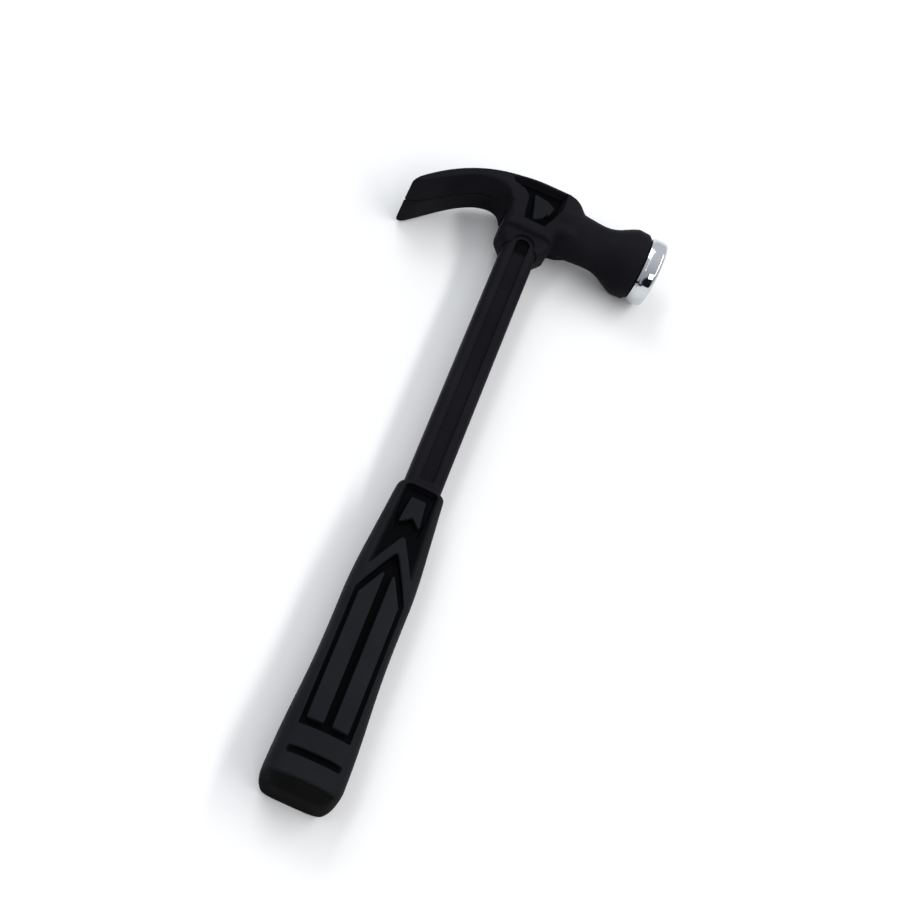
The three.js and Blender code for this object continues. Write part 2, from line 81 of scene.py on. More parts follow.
def round_or(a, b, r):
    """What is in either, with a fillet of radius r between them."""
    return np.maximum(r, np.minimum(a, b)) - np.hypot(np.maximum(r - a, 0), np.maximum(r - b, 0))


def cut(a, b, r):
    """The first without the second, with an edge of radius r."""
    return round_and(a, -b, r)


def clamp01(t):
    return np.clip(t, 0.0, 1.0)


def smooth(t):
    """A step from 0 to 1 that starts and ends level."""
    t = clamp01(t)
    return t * t * (3 - 2 * t)


def arcs(corners, steps=6):
    """A closed outline from (x, y, radius) corners, each rounded to its radius."""
    points = []
    count = len(corners)
    for i, (x, y, r) in enumerate(corners):
        here = Vector((x, y))
        back = (Vector(corners[i - 1][:2]) - here).normalized()
        on = (Vector(corners[(i + 1) % count][:2]) - here).normalized()
        if r <= 0:
            points.append((x, y))
            continue
        half = math.acos(max(-1.0, min(1.0, back.dot(on)))) / 2
        reach = r / math.tan(half)
        centre = here + (back + on).normalized() * (r / math.sin(half))
        a = here + back * reach - centre
        b = here + on * reach - centre
        turn = math.atan2(a.x * b.y - a.y * b.x, a.dot(b))
        for k in range(steps + 1):
            c, s = math.cos(turn * k / steps), math.sin(turn * k / steps)
            points.append((centre.x + a.x * c - a.y * s, centre.y + a.x * s + a.y * c))
    return points


def bezier(points, count=24):
    """Points along a Bezier curve of any order."""
    t = np.linspace(0, 1, count)
    layers = [np.tile(np.array(p, float), (count, 1)) for p in points]
    while len(layers) > 1:
        layers = [a * (1 - t)[:, None] + b * t[:, None] for a, b in zip(layers, layers[1:])]
    return [tuple(p) for p in layers[0]]


def through(points, steps=5):
    """A smooth curve through points (Catmull-Rom)."""
    p = [np.array(q, float) for q in points]
    p = [2 * p[0] - p[1]] + p + [2 * p[-1] - p[-2]]
    out = []
    for a, b, c, d in zip(p, p[1:], p[2:], p[3:]):
        for k in range(steps):
            t = k / steps
            out.append(tuple(0.5 * (2 * b + (c - a) * t + (2 * a - 5 * b + 4 * c - d) * t * t
                                    + (3 * b - a - 3 * c + d) * t ** 3)))
    return out + [tuple(p[-2])]


def outline(points, x, y):
    """Signed distance to a closed outline, negative inside."""
    shape = np.broadcast(x, y).shape
    best = np.full(shape, 1e9)
    inside = np.zeros(shape, bool)
    for (ax, ay), (bx, by) in zip(points, points[1:] + points[:1]):
        ex, ey = bx - ax, by - ay
        length = ex * ex + ey * ey
        if length < 1e-12:
            continue
        wx, wy = x - ax, y - ay
        t = clamp01((wx * ex + wy * ey) / length)
        best = np.minimum(best, (wx - ex * t) ** 2 + (wy - ey * t) ** 2)
        if ey:
            inside ^= ((ay <= y) != (by <= y)) & (ax + wy * ex / ey > x)
    return np.where(inside, -1.0, 1.0) * np.sqrt(best)


def box2(x, y, half_x, half_y, r):
    """Signed distance to a rounded rectangle about the origin."""
    qx, qy = np.abs(x) - half_x + r, np.abs(y) - half_y + r
    return np.hypot(np.maximum(qx, 0), np.maximum(qy, 0)) + np.minimum(np.maximum(qx, qy), 0) - r


# ---- Meshes ---------------------------------------------------------------------------------------


def new_object(name, vertices, faces, material):
    mesh = bpy.data.meshes.new(name)
    mesh.from_pydata(vertices, [], faces)
    mesh.materials.append(material)
    mesh.validate()
    mesh.shade_smooth()
    piece = bpy.data.objects.new(name, mesh)
    bpy.context.scene.collection.objects.link(piece)
    return piece


def to_frame(points):
    """Hammer points (mm) as frame points (m)."""
    m = np.array(PLACE)
    return points @ m[:3, :3].T + m[:3, 3]


def biggest_parts(points, quads, least=40):
    """Leaves out loose specks of fewer than `least` vertices."""
    parent = np.arange(len(points))
    edges = np.concatenate([quads[:, [0, 1]], quads[:, [1, 2]], quads[:, [2, 3]]])
    for _ in range(400):
        low = np.minimum(parent[edges[:, 0]], parent[edges[:, 1]])
        new = parent.copy()
        np.minimum.at(new, edges[:, 0], low)
        np.minimum.at(new, edges[:, 1], low)
        new = new[new]
        if (new == parent).all():
            break
        parent = new
    sizes = np.bincount(parent, minlength=len(points))
    keep = sizes[parent] >= least
    index = np.cumsum(keep) - 1
    return points[keep], index[quads[keep[quads[:, 0]]]]


SHADE_START = 0.35  # mm below the skin where the painted shade of hollows begins
SHADE_RANGE = 0.9


def carve(name, field, low, high, step, material, skin=None):
    """A piece meshed from a distance field over a box, in hammer millimetres.
    With a skin field, the attribute "sunk" says how deep below that skin each vertex lies (0 to 1); the
    materials paint shade into hollows by it."""
    axes = [np.arange(lo - 2 * step, hi + 3 * step, step) for lo, hi in zip(low, high)]
    x, y, z = axes[0][:, None, None], axes[1][None, :, None], axes[2][None, None, :]
    shape = (len(axes[0]), len(axes[1]), len(axes[2]))
    values = np.broadcast_to(field(x, y, z), shape).astype(np.float32)
    values = np.clip(values, -4 * step, 4 * step)
    grid = openvdb.FloatGrid(4 * step)
    grid.copyFromArray(np.ascontiguousarray(values))
    points, quads = grid.convertToQuads(0.0)
    points, quads = biggest_parts(np.array(points, float), np.array(quads, int))
    places = points * step + np.array([a[0] for a in axes])
    piece = new_object(name, to_frame(places).tolist(), quads[:, ::-1].tolist(), material)
    # painted shade: depth in a hollow, which the materials turn into a darker colour
    depth = clamp01((-skin(*places.T) - SHADE_START) / SHADE_RANGE) if skin else np.zeros(len(places))
    sunk_in = piece.data.attributes.new("sunk", "FLOAT", "POINT")
    sunk_in.data.foreach_set("value", depth.astype(np.float32))
    return piece


def stands_for(piece, node, body="root"):
    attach(piece, body)
    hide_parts(node)
    return piece


# ---- Materials ------------------------------------------------------------------------------------


DULL = 0.015  # specular level of the black pieces


class Nodes:
    """Small helper for building a node material."""

    def __init__(self, name):
        self.material = bpy.data.materials.new(name)
        self.material.use_nodes = True
        self.tree = self.material.node_tree
        self.shader = self.tree.nodes["Principled BSDF"]
        self.coords = self.tree.nodes.new("ShaderNodeTexCoord").outputs["Object"]

    def add(self, kind, settings=None, links=None):
        node = self.tree.nodes.new(kind)
        for key, value in (settings or {}).items():
            if key in node.inputs:
                node.inputs[key].default_value = value
            else:
                setattr(node, key, value)
        for key, output in (links or {}).items():
            self.tree.links.new(output, node.inputs[key])
        return node

    def noise(self, scale, detail=3.0, roughness=0.5, stretch=None):
        place = self.coords
        if stretch:
            place = self.add("ShaderNodeMapping", {"Scale": stretch}, {"Vector": place}).outputs["Vector"]
        settings = {"Scale": scale, "Detail": detail, "Roughness": roughness}
        return self.add("ShaderNodeTexNoise", settings, {"Vector": place}).outputs["Fac"]

    def ramp(self, factor, stops):
        node = self.add("ShaderNodeValToRGB", links={"Fac": factor})
        elements = node.color_ramp.elements
        while len(elements) < len(stops):
            elements.new(0.5)
        for element, (place, colour) in zip(elements, stops):
            element.position = place
            element.color = (*colour, 1) if isinstance(colour, tuple) else (colour,) * 3 + (1,)
        return node.outputs["Color"]

    def painted_shade_in_hollows(self, colour, share=0.92):
        """Painted shade: a near-black colour mixed in where the piece is sunk below its skin."""
        depth = self.add("ShaderNodeAttribute", {"attribute_name": "sunk"}).outputs["Fac"]
        # the painted shade colour for hollows, blended in by depth
        return self.mix(self.math("MULTIPLY", depth, share), colour, (0.0005, 0.0006, 0.0008))

    def math(self, operation, a, b):
        node = self.add("ShaderNodeMath", {"operation": operation})
        for socket, value in zip(node.inputs, (a, b)):
            if isinstance(value, (int, float)):
                socket.default_value = value
            else:
                self.tree.links.new(value, socket)
        return node.outputs[0]

    def bump(self, height, distance, strength=1.0, normal=None):
        links = {"Height": height}
        if normal:
            links["Normal"] = normal
        settings = {"Distance": distance, "Strength": strength}
        return self.add("ShaderNodeBump", settings, links).outputs["Normal"]

    def mix(self, factor, a, b):
        node = self.add("ShaderNodeMix", {"data_type": "RGBA"})
        self.tree.links.new(factor, node.inputs["Factor"])
        for socket, value in ((node.inputs[6], a), (node.inputs[7], b)):
            if isinstance(value, tuple):
                socket.default_value = (*value, 1)
            else:
                self.tree.links.new(value, socket)
        return node.outputs[2]

    def set(self, **links):
        for key, value in links.items():
            socket = self.shader.inputs[key.replace("_", " ")]
            if isinstance(value, (int, float)):
                socket.default_value = value
            else:
                self.tree.links.new(value, socket)
        return self.material


def coated_metal():
    """Black powder coat on the forging: fine orange peel, faint handling marks, worn edges, and painted
    shade in its pockets.
    """
    n = Nodes("coated_steel")
    tone = n.ramp(n.noise(55, 4), [(0.3, (0.0066, 0.0062, 0.0080)), (0.75, (0.0092, 0.0087, 0.0110))])
    pointed = n.add("ShaderNodeNewGeometry").outputs["Pointiness"]
    edge = n.ramp(pointed, [(0.535, 0.0), (0.60, 1.0)])
    patches = n.ramp(n.noise(160, 4, 0.7), [(0.42, 0.0), (0.62, 1.0)])
    wear = n.math("MULTIPLY", n.math("MULTIPLY", edge, patches), 0.5)
    # worn edges, with painted shade darkening the pockets and the arch
    colour = n.painted_shade_in_hollows(n.mix(wear, tone, (0.030, 0.030, 0.034)))
    rough = n.ramp(n.noise(90, 5, 0.6), [(0.3, 0.44), (0.7, 0.56)])
    peel = n.noise(1500, 2, 0.5)
    pits = n.noise(420, 3, 0.6)
    normal = n.bump(pits, 0.00018, 0.35, n.bump(peel, 0.00006, 0.45))
    return n.set(Base_Color=colour, Roughness=rough, Normal=normal, Specular_IOR_Level=DULL)


def moulded(name, low, high, rough_low, rough_high, grain=1.0):
    """Moulded black plastic or rubber: fine spark texture, faint flow and rubbed patches, and painted shade
    in its hollows.
    """
    n = Nodes(name)
    # random tone, with painted shade darkening the recesses
    colour = n.painted_shade_in_hollows(n.ramp(n.noise(40, 4), [(0.3, low), (0.75, high)]))
    rough = n.ramp(n.noise(120, 5, 0.65), [(0.3, rough_low), (0.7, rough_high)])
    fine = n.add("ShaderNodeTexVoronoi", {"Scale": 2100.0}, {"Vector": n.coords}).outputs["Distance"]
    broad = n.noise(260, 3, 0.6)
    normal = n.bump(broad, 0.00012, 0.3 * grain, n.bump(fine, 0.00005, 0.4 * grain))
    return n.set(Base_Color=colour, Roughness=rough, Normal=normal, Specular_IOR_Level=DULL)


def chrome():
    """Polished plating: fine turning lines round the axis and faint smudges."""
    n = Nodes("bright_steel")
    smudge = n.noise(70, 4, 0.6)
    rough = n.ramp(smudge, [(0.35, 0.045), (0.75, 0.11)])
    tint = n.ramp(smudge, [(0.3, (0.55, 0.58, 0.59)), (0.7, (0.62, 0.65, 0.655))])
    lines = n.noise(900, 2, 0.5, (6.0, 0.15, 0.15))
    normal = n.bump(lines, 0.00002, 0.12)
    n.set(Metallic=1.0)
    return n.set(Base_Color=tint, Roughness=rough, Normal=normal)


def fibreglass():
    """Glass fibre and resin: long strands under a clear surface."""
    n = Nodes("core")
    strands = n.noise(900, 4, 0.6, (1.0, 0.03, 1.0))
    colour = n.ramp(strands, [(0.35, (0.42, 0.27, 0.08)), (0.65, (0.72, 0.55, 0.25))])
    normal = n.bump(strands, 0.00006, 0.5)
    return n.set(Base_Color=colour, Roughness=0.42, Normal=normal)


def resin():
    """Set epoxy: dark, glossy, with small bubbles."""
    n = Nodes("resin")
    bubbles = n.add("ShaderNodeTexVoronoi", {"Scale": 700.0}, {"Vector": n.coords}).outputs["Distance"]
    colour = n.ramp(n.noise(200, 3), [(0.35, (0.010, 0.009, 0.009)), (0.7, (0.018, 0.016, 0.015))])
    normal = n.bump(bubbles, 0.00008, 0.3)
    return n.set(Base_Color=colour, Roughness=0.45, Specular_IOR_Level=0.25, Normal=normal)


STEEL = coated_metal()
CHROME = chrome()
JACKET = moulded("jacket", (0.0064, 0.0062, 0.0080), (0.0088, 0.0085, 0.0106), 0.38, 0.48, 0.7)
GRIP = moulded("grip", (0.0080, 0.0083, 0.0098), (0.0106, 0.0110, 0.0128), 0.46, 0.58)
RIB_RUBBER = moulded("grip_rib", (0.0086, 0.0089, 0.0104), (0.0112, 0.0117, 0.0136), 0.44, 0.56)
BADGE = moulded("badge", (0.0082, 0.0085, 0.0102), (0.0106, 0.0110, 0.0130), 0.32, 0.42, 0.5)
LINER = moulded("liner", (0.006, 0.006, 0.007), (0.009, 0.009, 0.010), 0.5, 0.6)

# ---- Head -----------------------------------------------------------------------------------------

CLAW_REACH = 58.8
CLAW_DROP = 24.4
CROWN = 2.2  # how far the ridge of the claw's inner face stands proud
CHEEK_WIDE = 12.6
CHEEK_HALF = 11.5
CHEEK_TOP = 13.8
CHEEK_BOTTOM = 18.0
POCKET_DEPTH = 4.0
SOCKET_TOP = 307.3
NECK_ROOT_R = 11.6
SHAFT_X, SHAFT_Z, SHAFT_R = 8.25, 7.0, 4.6
TOUCH = 0.06  # what the head and the grip leave to the handle cover


def head_side(crown):
    """Side outline about the poll axis; the crown lowers the inner edge of the claw."""
    inner = 2.2 - crown
    top = bezier([(0, CHEEK_TOP), (-24, 13), (-44, -3.5), (-CLAW_REACH, -CLAW_DROP)], 40)
    claw = bezier([(-57.7, -26.2), (-47, inner - 18.8), (-33, inner + 0.2), (-20.5, inner)], 40)
    crook = bezier([(-20.5, inner), (-13.2, inner), (-CHEEK_WIDE, -9.5)], 14)[1:]
    block = [(-CHEEK_WIDE, -CHEEK_BOTTOM), (12.9, -CHEEK_BOTTOM), (12.9, 14.2), (11, 14.15)]
    return top + claw + crook + block


HEAD_SIDE, HEAD_SIDE_CROWNED = head_side(0.0), head_side(CROWN)
HEAD_PLAN = arcs([(34, -CHEEK_HALF, 0), (34, CHEEK_HALF, 0), (-12.6, CHEEK_HALF, 30),
                  (-58.9, 16.2, 3.2), (-59.6, 0, 0), (-58.9, -16.2, 3.2), (-12.6, -CHEEK_HALF, 30)])
NAIL_SLOT = arcs([(-64, -0.5, 0), (-64, 0.5, 0), (-21.8, 0.42, 0.41), (-21.8, -0.42, 0.41)])
BELL = ([(6, 0), (6, 12.4)]
        + through([(15, 12.3), (21, 11.9), (27, 11.4), (32, 11.1), (36, 11.4), (39.5, 12.4), (43, 14.2),
                   (46, 15.8), (48.3, 16.7)])
        + arcs([(48.3, 16.7, 0), (49.2, 16.8, 0), (53.9, 16.6, 1.0), (55.4, 15.3, 0)], 4))
BELL += [(55.48, 15.0), (55.48, 0)]
POCKET = arcs([(-4.8, -12.3, 0.5), (5.7, -12.3, 0.5), (8.2, -6.5, 2), (9.6, -2.2, 3), (10.9, 1.8, 3),
               (10.9, 12.3, 0.6), (0, 11.6, 8), (-9.6, 11.1, 4), (-16.4, 8.5, 0.3), (-15.4, 6.0, 0.4),
               (-9.2, 4.6, 5), (-6.2, 1.2, 4), (-5.5, -8, 3)])
ARCH = arcs([(-5.6, -40, 0), (5.6, -40, 0), (5.6, -19.5, 5.55), (-5.6, -19.5, 5.55)], 12)


def head_field(x, y, z):
    """The forged head: claw, cheek, neck, bell and collar, less its openings."""
    v = y - POLL_Y
    side = np.abs(z)
    plan = outline(HEAD_PLAN, x, z)
    across = np.sqrt(z * z + 1.2) - 1.0
    half = CHEEK_HALF + clamp01((-CHEEK_WIDE - x) / 46) * 4.7
    ridge = clamp01(1 - across / half)
    profile = outline(HEAD_SIDE, x, v)
    profile = profile + (outline(HEAD_SIDE_CROWNED, x, v) - profile) * ridge
    body = round_and(profile, plan, 1.0 + 0.9 * smooth((x + 50) / 36))
    # the cheek's corners grow rounder towards the collar
    corner = 2.0 + 4.4 * smooth((-v - 5) / 12)
    below = box2(x - 0.15, z, 12.75, CHEEK_HALF, corner)
    body = np.where((v < -4.5) & (x > -22), round_and(body, below, 0.3), body)
    # chisel bevel at the claw's tips
    past_x, past_v = x + CLAW_REACH, v + CLAW_DROP
    back, up = past_x * 0.578 + past_v * 0.816, past_x * 0.816 - past_v * 0.578
    bevel = np.maximum((0.9 + 0.5 * back - up) * 0.894, back - 9)
    body = cut(body, bevel, 0.25)
    # neck and bell, turned about the poll axis, and the shoulder that leads the cheek into the neck
    bell = outline(BELL, x, np.hypot(v, z))
    turned_in = clamp01((x - 13) / 9.5) ** 1.8
    square = box2(v - 1.8, z, 12.4, CHEEK_HALF, 2.6)
    shoulder = square + (np.hypot(v, z) - NECK_ROOT_R - square) * turned_in
    shoulder = np.maximum(shoulder, np.maximum(6 - x, x - 22.5))
    body = round_or(body, np.minimum(bell, shoulder), 0.05 + 2.2 * smooth((-v - 7) / 3))
    # collar under the cheek, thinning down to the jacket
    drop = -CHEEK_BOTTOM - v
    wide = 12.5 - 3.9 * smooth((drop - 2.6) / 7.6)
    thick = 8.3 + 2.4 * (1 - smooth((drop + 2) / 3.4)) - 1.0 * smooth((drop - 1) / 4.5)
    lower = drop - 9.8 + 3.2 * clamp01(side / 8) ** 2
    collar = np.maximum(box2(x, z, wide, thick, 4.4) * 0.92, np.maximum(lower, -drop - 6))
    body = round_or(body, collar, 0.8)
    # opening that shows the end of the flute
    arch = outline(ARCH, x, v)
    body = cut(body, np.maximum(arch, SHAFT_Z + TOUCH - side), 0.35)
    # pockets in the two cheeks, with drafted walls
    pocket = outline(POCKET, x, v) + 0.16 * (CHEEK_HALF - side)
    body = cut(body, round_and(pocket, CHEEK_HALF - POCKET_DEPTH - side, 0.7), 0.45)
    # nail slot, opened a little at the inner face
    slot = outline(NAIL_SLOT, x, z)
    body = cut(body, slot, 0.5)
    # socket for the jacket and eye for the core bar
    socket = np.maximum(box2(x, z, SHAFT_X + TOUCH, SHAFT_Z + TOUCH, SHAFT_R + TOUCH), y - SOCKET_TOP)
    eye = box2(x, z, 6.7, 4.8, 3.5)
    return np.maximum(np.maximum(body, -socket), -eye)


def head_skin(x, y, z):
    """How far inside the cheek's flat sides a place is; only the pockets and the arch count. It sets where
    painted shade darkens the head.
    """
    v = y - POLL_Y
    pocket = np.minimum(outline(POCKET, x, v), outline(ARCH, x, v))
    return np.maximum(np.abs(z) - CHEEK_HALF, pocket)


head = carve("head_forging", head_field, (-60, 293, -17.2), (56, 338, 17.2), 0.4, STEEL, head_skin)
stands_for(head, "forged_head")

SHIELD = arcs([(-0.6, -9.8, 0.6), (3.6, -6.6, 1), (4.6, -3.6, 0.6), (6.2, -3.0, 0.6), (7.2, 2.2, 0.8),
               (3.0, 4.6, 3), (-3.8, 5.4, 0.7), (-2.6, 0.5, 2)])


def shield_field(x, y, z):
    """Plain raised shield in the cheek pocket."""
    v = y - POLL_Y
    plate = round_and(outline(SHIELD, x, v), z - 9.75, 0.35)
    return np.maximum(plate, 7.8 - z)


def mirrored(name, source):
    """The same piece for the other side of the hammer."""
    flip = PLACE @ Matrix.Scale(-1, 4, Vector((0, 0, 1))) @ PLACE.inverted()
    mesh = source.data.copy()
    mesh.transform(flip)
    mesh.flip_normals()
    piece = bpy.data.objects.new(name, mesh)
    bpy.context.scene.collection.objects.link(piece)
    return piece


shield = carve("cheek_shield_upper", shield_field, (-5, 311, 7), (8.5, 329, 10.4), 0.22, BADGE)
stands_for(mirrored("cheek_shield_lower", shield), "cheek_badge_lower")
stands_for(shield, "cheek_badge_upper")


def turned(name, profile, material, segments=128):
    """A solid turned about the poll axis from (x, radius) points that start and end on the axis."""
    rings = profile[1:-1]
    points = [(profile[0][0], POLL_Y, 0.0), (profile[-1][0], POLL_Y, 0.0)]
    for x, r in rings:
        for k in range(segments):
            a = 2 * math.pi * k / segments
            points.append((x, POLL_Y + r * math.cos(a), r * math.sin(a)))

    def at(ring, k):
        return 2 + ring * segments + k % segments

    faces = []
    for k in range(segments):
        faces.append((0, at(0, k), at(0, k + 1)))
        faces.append((1, at(len(rings) - 1, k + 1), at(len(rings) - 1, k)))
        for ring in range(len(rings) - 1):
            faces.append((at(ring, k + 1), at(ring, k), at(ring + 1, k), at(ring + 1, k + 1)))
    return new_object(name, to_frame(np.array(points)).tolist(), faces, material)


def face_profile():
    """Stud, back of the head, narrow step, band and rounded rim of the bright face."""
    back = 55.8
    rim_r = 2.0
    flat_r = 14.2
    turns = np.linspace(0, math.pi / 2, 9)
    rim = [(FACE_REACH - rim_r + rim_r * math.sin(t), flat_r + rim_r * math.cos(t)) for t in turns]
    flat = [(FACE_REACH, r) for r in (12.0, 9.0, 6.0, 3.0)]
    stud = [(41.3, 0), (41.3, 4.6), (41.7, 5.0), (back, 5.0)]
    step = [(back, 15.5), (back + 0.25, 15.75), (56.9, 15.8), (57.1, 16.05), (57.35, 16.2), (61.4, 16.2)]
    return stud + step + rim + flat + [(FACE_REACH, 0)]


stands_for(turned("bright_face", face_profile(), CHROME), "striking_face")

# ---- Handle ---------------------------------------------------------------------------------------

FLUTE_DEPTH = 1.6
FLUTE = arcs([(-3.1, 153.2, 0.8), (3.1, 153.2, 0.8), (3.1, 300.5, 3.05), (-3.1, 300.5, 3.05)], 10)


def jacket_field(x, y, z):
    """Hollow cover of the handle, with a long flute in each broad side."""
    side = np.abs(z)
    skin = box2(x, z, SHAFT_X, SHAFT_Z, SHAFT_R)
    body = np.maximum(skin, np.maximum(147.9 - y, y - 307.0))
    flute = outline(FLUTE, x, y) + 0.1 * (SHAFT_Z - side)
    body = cut(body, round_and(flute, SHAFT_Z - FLUTE_DEPTH - side, 0.5), 0.4)
    return np.maximum(body, -box2(x, z, 5.5, 3.6, 2.3))


def jacket_painted_shade(x, y, z):
    """Painted shade in the flute, with a deeper painted shadow where its end lies under the collar's arch.
    """
    # painted shadow of the collar falling on the flute's end
    collar_painted_shadow = -1.2 * smooth((y - 289) / 5) * (outline(FLUTE, x, y) < 0.1)
    return np.minimum(0.35 * box2(x, z, SHAFT_X, SHAFT_Z, SHAFT_R), collar_painted_shadow)


jacket = carve("handle_cover", jacket_field, (-8.3, 147.8, -7.1), (8.3, 307.2, 7.1), 0.4,
               JACKET, jacket_painted_shade)
stands_for(jacket, "handle_jacket")

# ---- Grip -----------------------------------------------------------------------------------------

GRIP_Y = [0, 8, 16, 26, 36, 46, 56, 66, 76, 86, 96, 106, 116, 126, 136, 143, 149.5]
GRIP_W = [16.5, 16.5, 16.35, 15.95, 15.4, 14.8, 14.35, 14.1, 14.05, 14.1, 14.25, 13.85, 13.2, 12.4,
          11.7, 11.3, 10.9]
GRIP_END = 149.5
TOP_Z = 9.0
RECESS_DEPTH, WINDOW_DEPTH, TAB_DEPTH, SLOT_DEPTH = 3.2, 2.0, 3.1, 2.5


def grip_half_x(y):
    """Half width along the handle, smoothed between the measured places."""
    fine = np.linspace(0, GRIP_END, 300)
    rough = np.interp(fine, GRIP_Y, GRIP_W)
    kernel = np.hanning(25)
    wide = np.convolve(np.pad(rough, 12, mode="edge"), kernel / kernel.sum(), mode="valid")
    return np.interp(y, fine, wide)


def grip_half_z(y):
    """Half thickness along the handle: thickest at the butt."""
    return BUTT_Z + (TOP_Z - BUTT_Z) * clamp01(y / GRIP_END) ** 1.2


def grip_skin(x, y, z):
    """Distance to the rounded section of the grip (a superellipse that changes along the handle)."""
    power = 3.1
    w, h = grip_half_x(y), grip_half_z(y)
    u, v = np.abs(x) / w + 1e-6, np.abs(z) / h + 1e-6
    total = (u ** power + v ** power) ** (1 / power)
    slope = np.hypot((u / total) ** (power - 1) / w, (v / total) ** (power - 1) / h)
    return (total - 1) / slope


GRIP_PLAN = arcs([(-16.8, 0, 7.6), (16.8, 0, 7.6), (16.8, 30, 0), (15.2, 110, 0), (11.0, GRIP_END, 1.8),
                  (-11.0, GRIP_END, 1.8), (-15.2, 110, 0), (-16.8, 30, 0)], 10)
CHEVRON_Y, CHEVRON_SLOPE, CHEVRON_BAND = 113.4, 2.1, 8.8
RIB_RECESS = arcs([(-11, 23, 0.6), (11, 23, 0.6), (11, CHEVRON_Y - 23.1, 1.0), (0, CHEVRON_Y, 1.0),
                   (-11, CHEVRON_Y - 23.1, 1.0)])
APEX_Y = CHEVRON_Y + CHEVRON_BAND
WINDOW = arcs([(-7.9, 147.6, 1.4), (-10.2, APEX_Y - 21.4, 0.5), (0, APEX_Y, 1.2), (10.2, APEX_Y - 21.4, 0.5),
               (7.9, 147.6, 1.4)])
TAB_POCKET = arcs([(-6.7, 148, 0.8), (-6.9, 136, 3), (-5.6, 123.4, 1.0), (0, 125.2, 2), (5.6, 123.4, 1.0),
                   (6.9, 136, 3), (6.7, 148, 0.8)])
CROSS_SLOT = arcs([(-11.6, 9.95, 1.2), (11.6, 9.95, 1.2), (11.6, 13.25, 1.2), (-11.6, 13.25, 1.2)])


def sunk(shape, x, y, side, depth, draft=0.12, floor=0.4):
    """A pocket of even depth under the grip's side, with drafted walls."""
    top = grip_half_z(y)
    return round_and(outline(shape, x, y) + draft * (top - side), top - depth - side, floor)


def grip_field(x, y, z):
    """The grip's sleeve, less the recesses of its broad sides and the space inside."""
    side = np.abs(z)
    body = round_and(grip_skin(x, y, z), outline(GRIP_PLAN, x, y), 1.6)
    butt = (1.1 * side / 12.0 - y) * 0.996
    body = round_and(body, butt, 0.3)
    body = cut(body, sunk(RIB_RECESS, x, y, side, RECESS_DEPTH), 0.5)
    window = sunk(WINDOW, x, y, side, WINDOW_DEPTH)
    tab_pocket = sunk(TAB_POCKET, x, y, side, TAB_DEPTH)
    body = cut(body, np.minimum(window, tab_pocket), 0.45)
    body = cut(body, sunk(CROSS_SLOT, x, y, side, SLOT_DEPTH), 0.5)
    cavity = np.maximum(box2(x, z, 7.7, 5.6, 2.0), np.maximum(6.0 - y, y - 147.7))
    throat = np.maximum(box2(x, z, SHAFT_X + TOUCH, SHAFT_Z + TOUCH, SHAFT_R + TOUCH), 147.3 - y)
    return np.maximum(np.maximum(body, -cavity), -throat)


# grip_skin also sets the painted shade in the grip's recesses
grip = carve("grip_body", grip_field, (-16.7, -0.2, -13.5), (16.7, 149.7, 13.5), 0.45, GRIP, grip_skin)
stands_for(grip, "grip_sleeve")


def raised(shape, top_depth, low_depth, crown, edge=0.45):
    """A flat-bottomed strip between two depths under the grip's side, crowned across."""
    def field(x, y, z):
        top = grip_half_z(y)
        upper = z - (top - top_depth) + crown * (x / 9.0) ** 2
        return np.maximum(round_and(outline(shape, x, y), upper, edge), top - low_depth - z)
    return field


def rib_top(x):
    """Height of the rib's upper end, parallel to the arm of the chevron."""
    return CHEVRON_Y - CHEVRON_SLOPE * x - 6.5


RIB = arcs([(1.75, 26.6, 0.7), (8.8, 26.6, 0.7), (8.8, rib_top(8.8), 1.0), (1.75, rib_top(1.75), 0.6)])
TAB = arcs([(-3.3, 141.6, 0.6), (-4.8, 127.2, 0.5), (0.4, 131.8, 0.4), (4.8, 127.2, 0.5), (3.3, 141.6, 0.6)])

for x_sign, where in ((1, "face_side"), (-1, "claw_side")):
    points = [(x_sign * x, y) for x, y in RIB][::x_sign]
    xs = sorted((1.6 * x_sign, 9.0 * x_sign))
    strip = raised(points, 0.2, 2.9, 0.9)
    rib = carve("rib_upper_" + where, strip, (xs[0], 26.4, 8), (xs[1], 103.4, 13.4), 0.3, RIB_RUBBER)
    stands_for(mirrored("rib_lower_" + where, rib), "grip_rib_lower_" + where)
    stands_for(rib, "grip_rib_upper_" + where)

tab = carve("tab_upper", raised(TAB, 0.5, 2.1, 0.5, 0.35), (-5, 127, 6), (5, 142, 10.5), 0.22, BADGE)
stands_for(mirrored("tab_lower", tab), "grip_badge_lower")
stands_for(tab, "grip_badge_upper")

# ---- Pieces that stay as they are -----------------------------------------------------------------

for node, material in (("core_bar", fibreglass()), ("eye_bond", resin()), ("eye_plug", resin()),
                       ("grip_liner", LINER)):
    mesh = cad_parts[node].data
    mesh.materials.clear()
    mesh.materials.append(material)

# ---- Floor, light and camera ----------------------------------------------------------------------


def floor():
    n = Nodes("paper_floor")
    colour = n.ramp(n.noise(2.2, 2), [(0.3, (0.70, 0.705, 0.705)), (0.7, (0.72, 0.72, 0.72))])
    n.set(Base_Color=colour, Roughness=0.9, Specular_IOR_Level=0.1)
    size = 4.0
    mesh = bpy.data.meshes.new("floor")
    corners = [(-size, -size, 0), (size, -size, 0), (size, size, 0), (-size, size, 0)]
    mesh.from_pydata(corners, [], [(0, 1, 2, 3)])
    mesh.materials.append(n.material)
    plane = bpy.data.objects.new("floor", mesh)
    bpy.context.scene.collection.objects.link(plane)


def soft_light(name, place, aim, size, power, colour=(1, 1, 1)):
    light = bpy.data.lights.new(name, "AREA")
    light.shape = "RECTANGLE"
    light.size, light.size_y = size
    light.energy = power
    light.color = colour
    holder = bpy.data.objects.new(name, light)
    holder.location = place
    holder.rotation_euler = (Vector(aim) - Vector(place)).to_track_quat("-Z", "Y").to_euler()
    bpy.context.scene.collection.objects.link(holder)


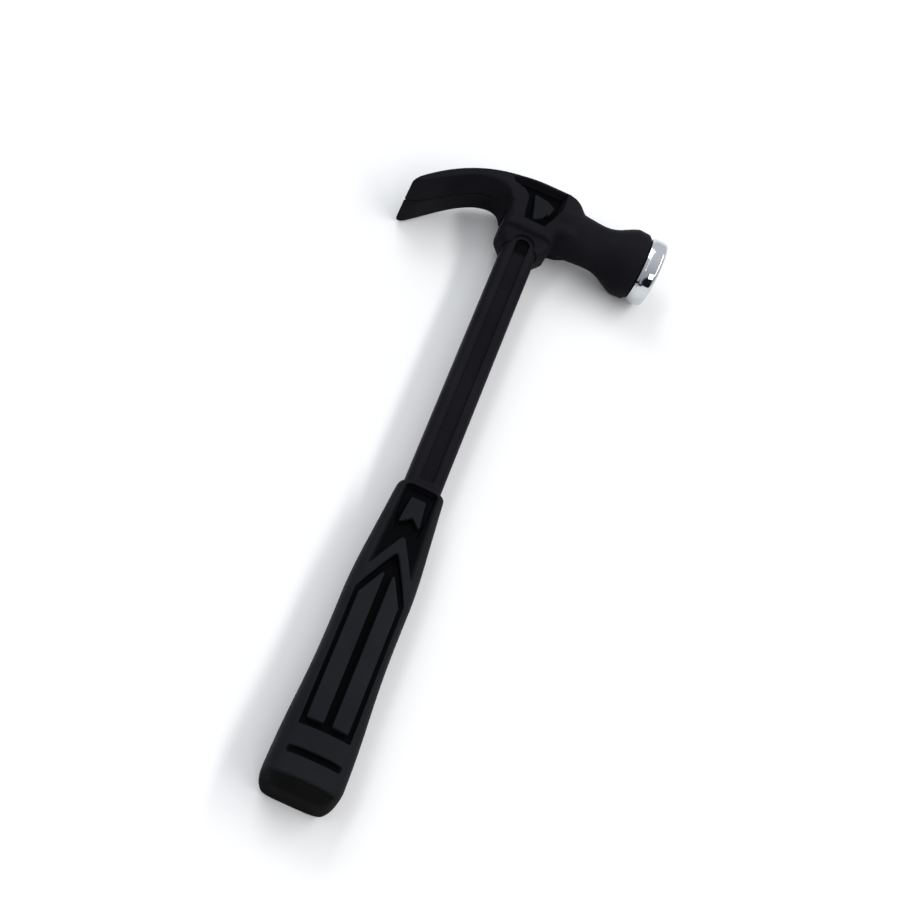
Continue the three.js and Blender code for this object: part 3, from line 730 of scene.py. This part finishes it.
def world_light():
    """Pale room: lighter behind the head, with a dark patch low beyond the butt."""
    world = bpy.data.worlds.new("room")
    bpy.context.scene.world = world
    world.use_nodes = True
    tree = world.node_tree
    coords = tree.nodes.new("ShaderNodeTexCoord")

    def shade(direction, stops):
        dot = tree.nodes.new("ShaderNodeVectorMath")
        dot.operation = "DOT_PRODUCT"
        dot.inputs[1].default_value = direction
        tree.links.new(coords.outputs["Generated"], dot.inputs[0])
        spread = tree.nodes.new("ShaderNodeMapRange")
        spread.inputs["From Min"].default_value = -1.0
        tree.links.new(dot.outputs["Value"], spread.inputs["Value"])
        ramp = tree.nodes.new("ShaderNodeValToRGB")
        tree.links.new(spread.outputs["Result"], ramp.inputs["Fac"])
        for element, (place, colour) in zip(ramp.color_ramp.elements, stops):
            element.position = place
            element.color = (*colour, 1)
        return ramp.outputs["Color"]

    room = shade((0.0, 0.8, 0.6), [(0.25, (0.40, 0.40, 0.44)), (0.90, (0.72, 0.74, 0.78))])
    patch = shade((0.12, -0.965, 0.23), [(0.948, (1, 1, 1)), (0.968, (0.03, 0.03, 0.035))])
    both = tree.nodes.new("ShaderNodeMix")
    both.data_type = "RGBA"
    both.blend_type = "MULTIPLY"
    both.inputs["Factor"].default_value = 1.0
    tree.links.new(room, both.inputs[6])
    tree.links.new(patch, both.inputs[7])
    background = tree.nodes["Background"]
    tree.links.new(both.outputs[2], background.inputs["Color"])
    background.inputs["Strength"].default_value = 1.0


floor()
world_light()
soft_light("back", (-1.1, 1.2, 1.5), (0, 0, 0), (1.4, 0.9), 12, (0.97, 0.99, 1.0))
soft_light("right_strip", (0.85, 0.1, 1.15), (0, 0, 0), (2.2, 0.18), 14, (1.0, 0.99, 0.97))
soft_light("left_strip", (-0.62, 0.1, 1.35), (0, 0, 0), (2.2, 0.2), 7, (0.97, 0.99, 1.0))
soft_light("lamp", (0.22, -1.05, 1.0), (0, 0, 0), (0.5, 0.45), 3.5, (1.0, 0.99, 0.97))

# the camera's place (mm) and its right and up directions, in the hammer's own axes
CAMERA_PLACE = (-58.3, -330.6, 693.5)
CAMERA_RIGHT = (0.9029, 0.3011, 0.3069)
CAMERA_UP = (-0.4229, 0.7504, 0.5080)

turn = PLACE.to_3x3().normalized()
camera = bpy.data.cameras.new("camera")
camera.lens = 78.95
camera.sensor_width = 36.0
camera.clip_start = 0.01
viewer = bpy.data.objects.new("camera", camera)
right = turn @ Vector(CAMERA_RIGHT)
up = turn @ Vector(CAMERA_UP)
axes = Matrix((right, up, right.cross(up))).transposed()
viewer.matrix_world = Matrix.Translation(PLACE @ Vector(CAMERA_PLACE)) @ axes.to_4x4()
bpy.context.scene.collection.objects.link(viewer)
bpy.context.scene.camera = viewer
bpy.context.scene.view_settings.view_transform = "Standard"
